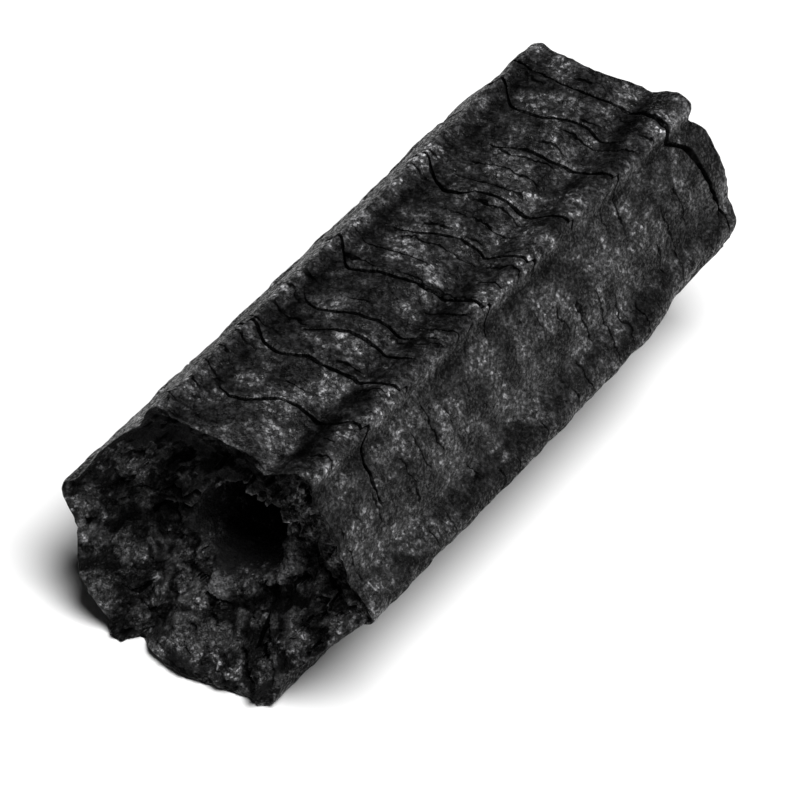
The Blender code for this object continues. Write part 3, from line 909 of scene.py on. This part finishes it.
def glints(n, where, broken):
    """Painted glints: light that single grains add to the colour, in clusters."""
    lone_grains = n.add("ShaderNodeSeparateColor", 0, {"Color": n.cells(where, GLINT_SIZE)})
    clusters = n.ramp(n.noise(where, *CLUSTER_PATTERN), *GLINT_CLUSTERS)
    glinting = n.times(n.calc("POWER", lone_grains, GLINT_RARITY), clusters)
    return n.calc("ADD", n.times(glinting, n.ramp(broken, *GLINTS)), 1.0)


def grains(n, where):
    """Pattern of the grains, 0 in the net of small dark gaps between them, and the light on both."""
    sparkle = n.noise(where, *SPARKLE_PATTERN)
    from_gap = n.calc("ABSOLUTE", n.calc("SUBTRACT", n.noise(where, *GAP_PATTERN), 0.5))
    body = n.ramp(from_gap, *GAP_EDGE)
    return sparkle, body, n.times(n.ramp(sparkle, *GRAIN_LIGHT), n.ramp(body, *LIGHT_OUT_OF_GAPS))


def brighter_patches(n, where, wall, broken):
    """Brighter and darker patches: clouds on the wall, clumps on the broken ends."""
    cloud = n.ramp(n.noise(where, *CLOUD_PATTERN), *CLOUDS)
    clumps = n.ramp(n.noise(where, *CLUMP_PATTERN), *CLUMPS)
    return n.calc("ADD", n.times(wall, cloud), n.times(broken, clumps))


def relief(n, where, broken, body, lines):
    """Height of the finest relief, in metres."""
    coarse = n.times(n.noise(where, *COARSE_PATTERN), n.ramp(broken, *COARSE_HEIGHT))
    fine = n.times(n.noise(where, *FINE_PATTERN), n.ramp(broken, *FINE_HEIGHT))
    height = n.calc("ADD", n.calc("ADD", coarse, fine), n.times(body, n.ramp(broken, *GRAIN_HEIGHT)))
    return n.calc("SUBTRACT", height, n.times(lines, HAIRLINE_DEPTH))


def charcoal_material():
    """Charcoal: near black, grainy, with dark cracks, painted shade, painted highlights and painted glints.
    """
    material = bpy.data.materials.new("charcoal_matter")
    n = Nodes(material)
    where = drawn_out_place(n)
    broken = n.ramp(n.attribute("broken"), *WALL_TO_BROKEN)
    bore = n.ramp(n.attribute("broken"), *BROKEN_TO_BORE)
    wall = n.calc("SUBTRACT", 1.0, broken)
    from_line, lines = hairlines(n, where, wall)
    sparkle, body, light = grains(n, where)
    patches = brighter_patches(n, where, wall, broken)

    # Black in the hairlines and grooves, and the darkening: painted shade, and a plain darkening of the far
    # end
    groove = n.ramp(n.attribute("groove"), *INTO_GROOVE)
    black = n.calc("MAXIMUM", n.times(lines, HAIRLINE_BLACK), n.times(groove, GROOVE_BLACK))
    soot = n.times(n.attribute("soot"), DARKENING_BLACK)
    dark = n.calc("MAXIMUM", black, soot)

    # Shade, one step after another: grains with painted glints, paler crests and painted highlights, the
    # dish's pale fragments, black, the darkening, a flat grey floor on the broken ends, the hole
    grain = n.times(n.ramp(n.noise(where, *GRAIN_PATTERN), *GRAIN_SHADE), glints(n, where, broken))
    shade = n.times(n.times(grain, light), n.times(patches, n.ramp(from_line, *BETWEEN_HAIRLINES)))
    shade = n.times(shade, n.ramp(n.attribute("worn"), *HIGHLIGHT_AND_WEAR_LIGHT))
    shade = n.calc("MAXIMUM", shade, n.times(n.attribute("pale"), light, FRAGMENT_SHADE))
    shade = n.times(shade, n.ramp(dark, *LIGHT_IN_BLACK))
    # On the broken ends the darkening stops at a flat dark grey, lower in black; in the dish's painted shade
    # this grey is painted fill light
    grey_under_darkening = n.times(soot, broken, n.ramp(black, *GREY_UNDER_DARKENING_IN_BLACK), GREY_UNDER_DARKENING)
    shade = n.calc("MAXIMUM", shade, grey_under_darkening)
    shade = n.calc("MAXIMUM", shade, n.times(bore, BORE_SHADE))
    inputs = {"Red": shade, "Green": shade, "Blue": n.times(shade, BLUENESS)}
    n.put(n.shader.inputs["Base Color"], n.add("ShaderNodeCombineColor", 0, inputs))

    # Gloss of the grains, least in gaps and in black
    n.put(n.shader.inputs["Roughness"], n.ramp(sparkle, *GRAIN_ROUGHNESS))
    glossy = n.times(n.ramp(patches, *PATCH_GLOSS), n.ramp(body, *GLOSS_OUT_OF_GAPS))
    n.put(n.shader.inputs["Specular IOR Level"], n.times(glossy, n.ramp(dark, *GLOSS_IN_BLACK)))

    # Finest relief, which is softer where the broken ends are darkened
    strength = n.ramp(n.times(n.attribute("soot"), broken), *RELIEF_IN_DARKENING)
    inputs = {"Height": relief(n, where, broken, body, lines), "Distance": 1.0, "Strength": strength}
    n.put(n.shader.inputs["Normal"], n.add("ShaderNodeBump", 0, inputs))
    return material


def floor_material():
    """Matt pale grey."""
    material = bpy.data.materials.new("pale_floor")
    material.use_nodes = True
    shader = material.node_tree.nodes["Principled BSDF"]
    shader.inputs["Base Color"].default_value = (FLOOR_SHADE, FLOOR_SHADE, FLOOR_SHADE, 1.0)
    shader.inputs["Roughness"].default_value = FLOOR_ROUGHNESS
    shader.inputs["Specular IOR Level"].default_value = FLOOR_GLOSS
    return material


def pale_floor():
    """Floor that the stick lies on, which isn't part of it."""
    bpy.ops.mesh.primitive_plane_add(size=FLOOR_SIZE, location=(0.0, 0.0, -FLOOR_DROP))
    floor = bpy.context.object
    floor.name = "floor"
    floor.data.materials.append(floor_material())


def wide_sun(name, direction, spread, strength):
    """Sun lamp that shines at the stick from a direction, as wide as a soft box."""
    lamp = bpy.data.lights.new(name, "SUN")
    lamp.angle = spread
    lamp.energy = strength
    light = bpy.data.objects.new(name, lamp)
    light.rotation_euler = Vector(direction).to_track_quat("Z", "Y").to_euler()
    bpy.context.scene.collection.objects.link(light)


def studio():
    """Pale room that is brightest along the horizon, and a key light from above and the right."""
    world = bpy.data.worlds.new("studio")
    world.use_nodes = True
    tree = world.node_tree
    background = tree.nodes["Background"]
    direction = tree.nodes.new("ShaderNodeTexCoord").outputs["Generated"]
    parts = tree.nodes.new("ShaderNodeSeparateXYZ")
    height = tree.nodes.new("ShaderNodeMapRange")
    height.inputs["From Max"].default_value = HORIZON_BAND
    height.inputs["To Min"].default_value = HORIZON_LIGHT
    height.inputs["To Max"].default_value = ROOM_LIGHT
    tree.links.new(direction, parts.inputs["Vector"])
    tree.links.new(parts.outputs["Z"], height.inputs["Value"])
    tree.links.new(height.outputs["Result"], background.inputs["Strength"])
    bpy.context.scene.world = world
    wide_sun("key", KEY_DIRECTION, KEY_SPREAD, KEY_STRENGTH)
    bpy.context.scene.view_settings.view_transform = "Standard"


def camera():
    """Camera that looks down on the front end and the right side, rolled a little."""
    flat = math.cos(VIEW_ELEVATION)
    back = Vector((math.sin(VIEW_AZIMUTH) * flat, -math.cos(VIEW_AZIMUTH) * flat, math.sin(VIEW_ELEVATION)))
    level = Vector((math.cos(VIEW_AZIMUTH), math.sin(VIEW_AZIMUTH), 0.0))
    upright = back.cross(level)
    right = level * math.cos(VIEW_ROLL) + upright * math.sin(VIEW_ROLL)
    up = back.cross(right)
    lens = bpy.data.cameras.new("camera")
    lens.lens = LENS
    lens.sensor_width = SENSOR
    lens.clip_end = VIEW_REACH
    view = bpy.data.objects.new("camera", lens)
    turned = Matrix((right, up, back)).transposed().to_4x4()
    view.matrix_world = Matrix.Translation(VIEW_TARGET + back * VIEW_DISTANCE) @ turned
    bpy.context.scene.collection.objects.link(view)
    bpy.context.scene.camera = view


def build():
    """Stick, floor, light and camera."""
    stick = charcoal_surface()
    stick.data.materials.append(charcoal_material())
    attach(stick, BODY)
    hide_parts(NODE)
    pale_floor()
    studio()
    camera()


build()
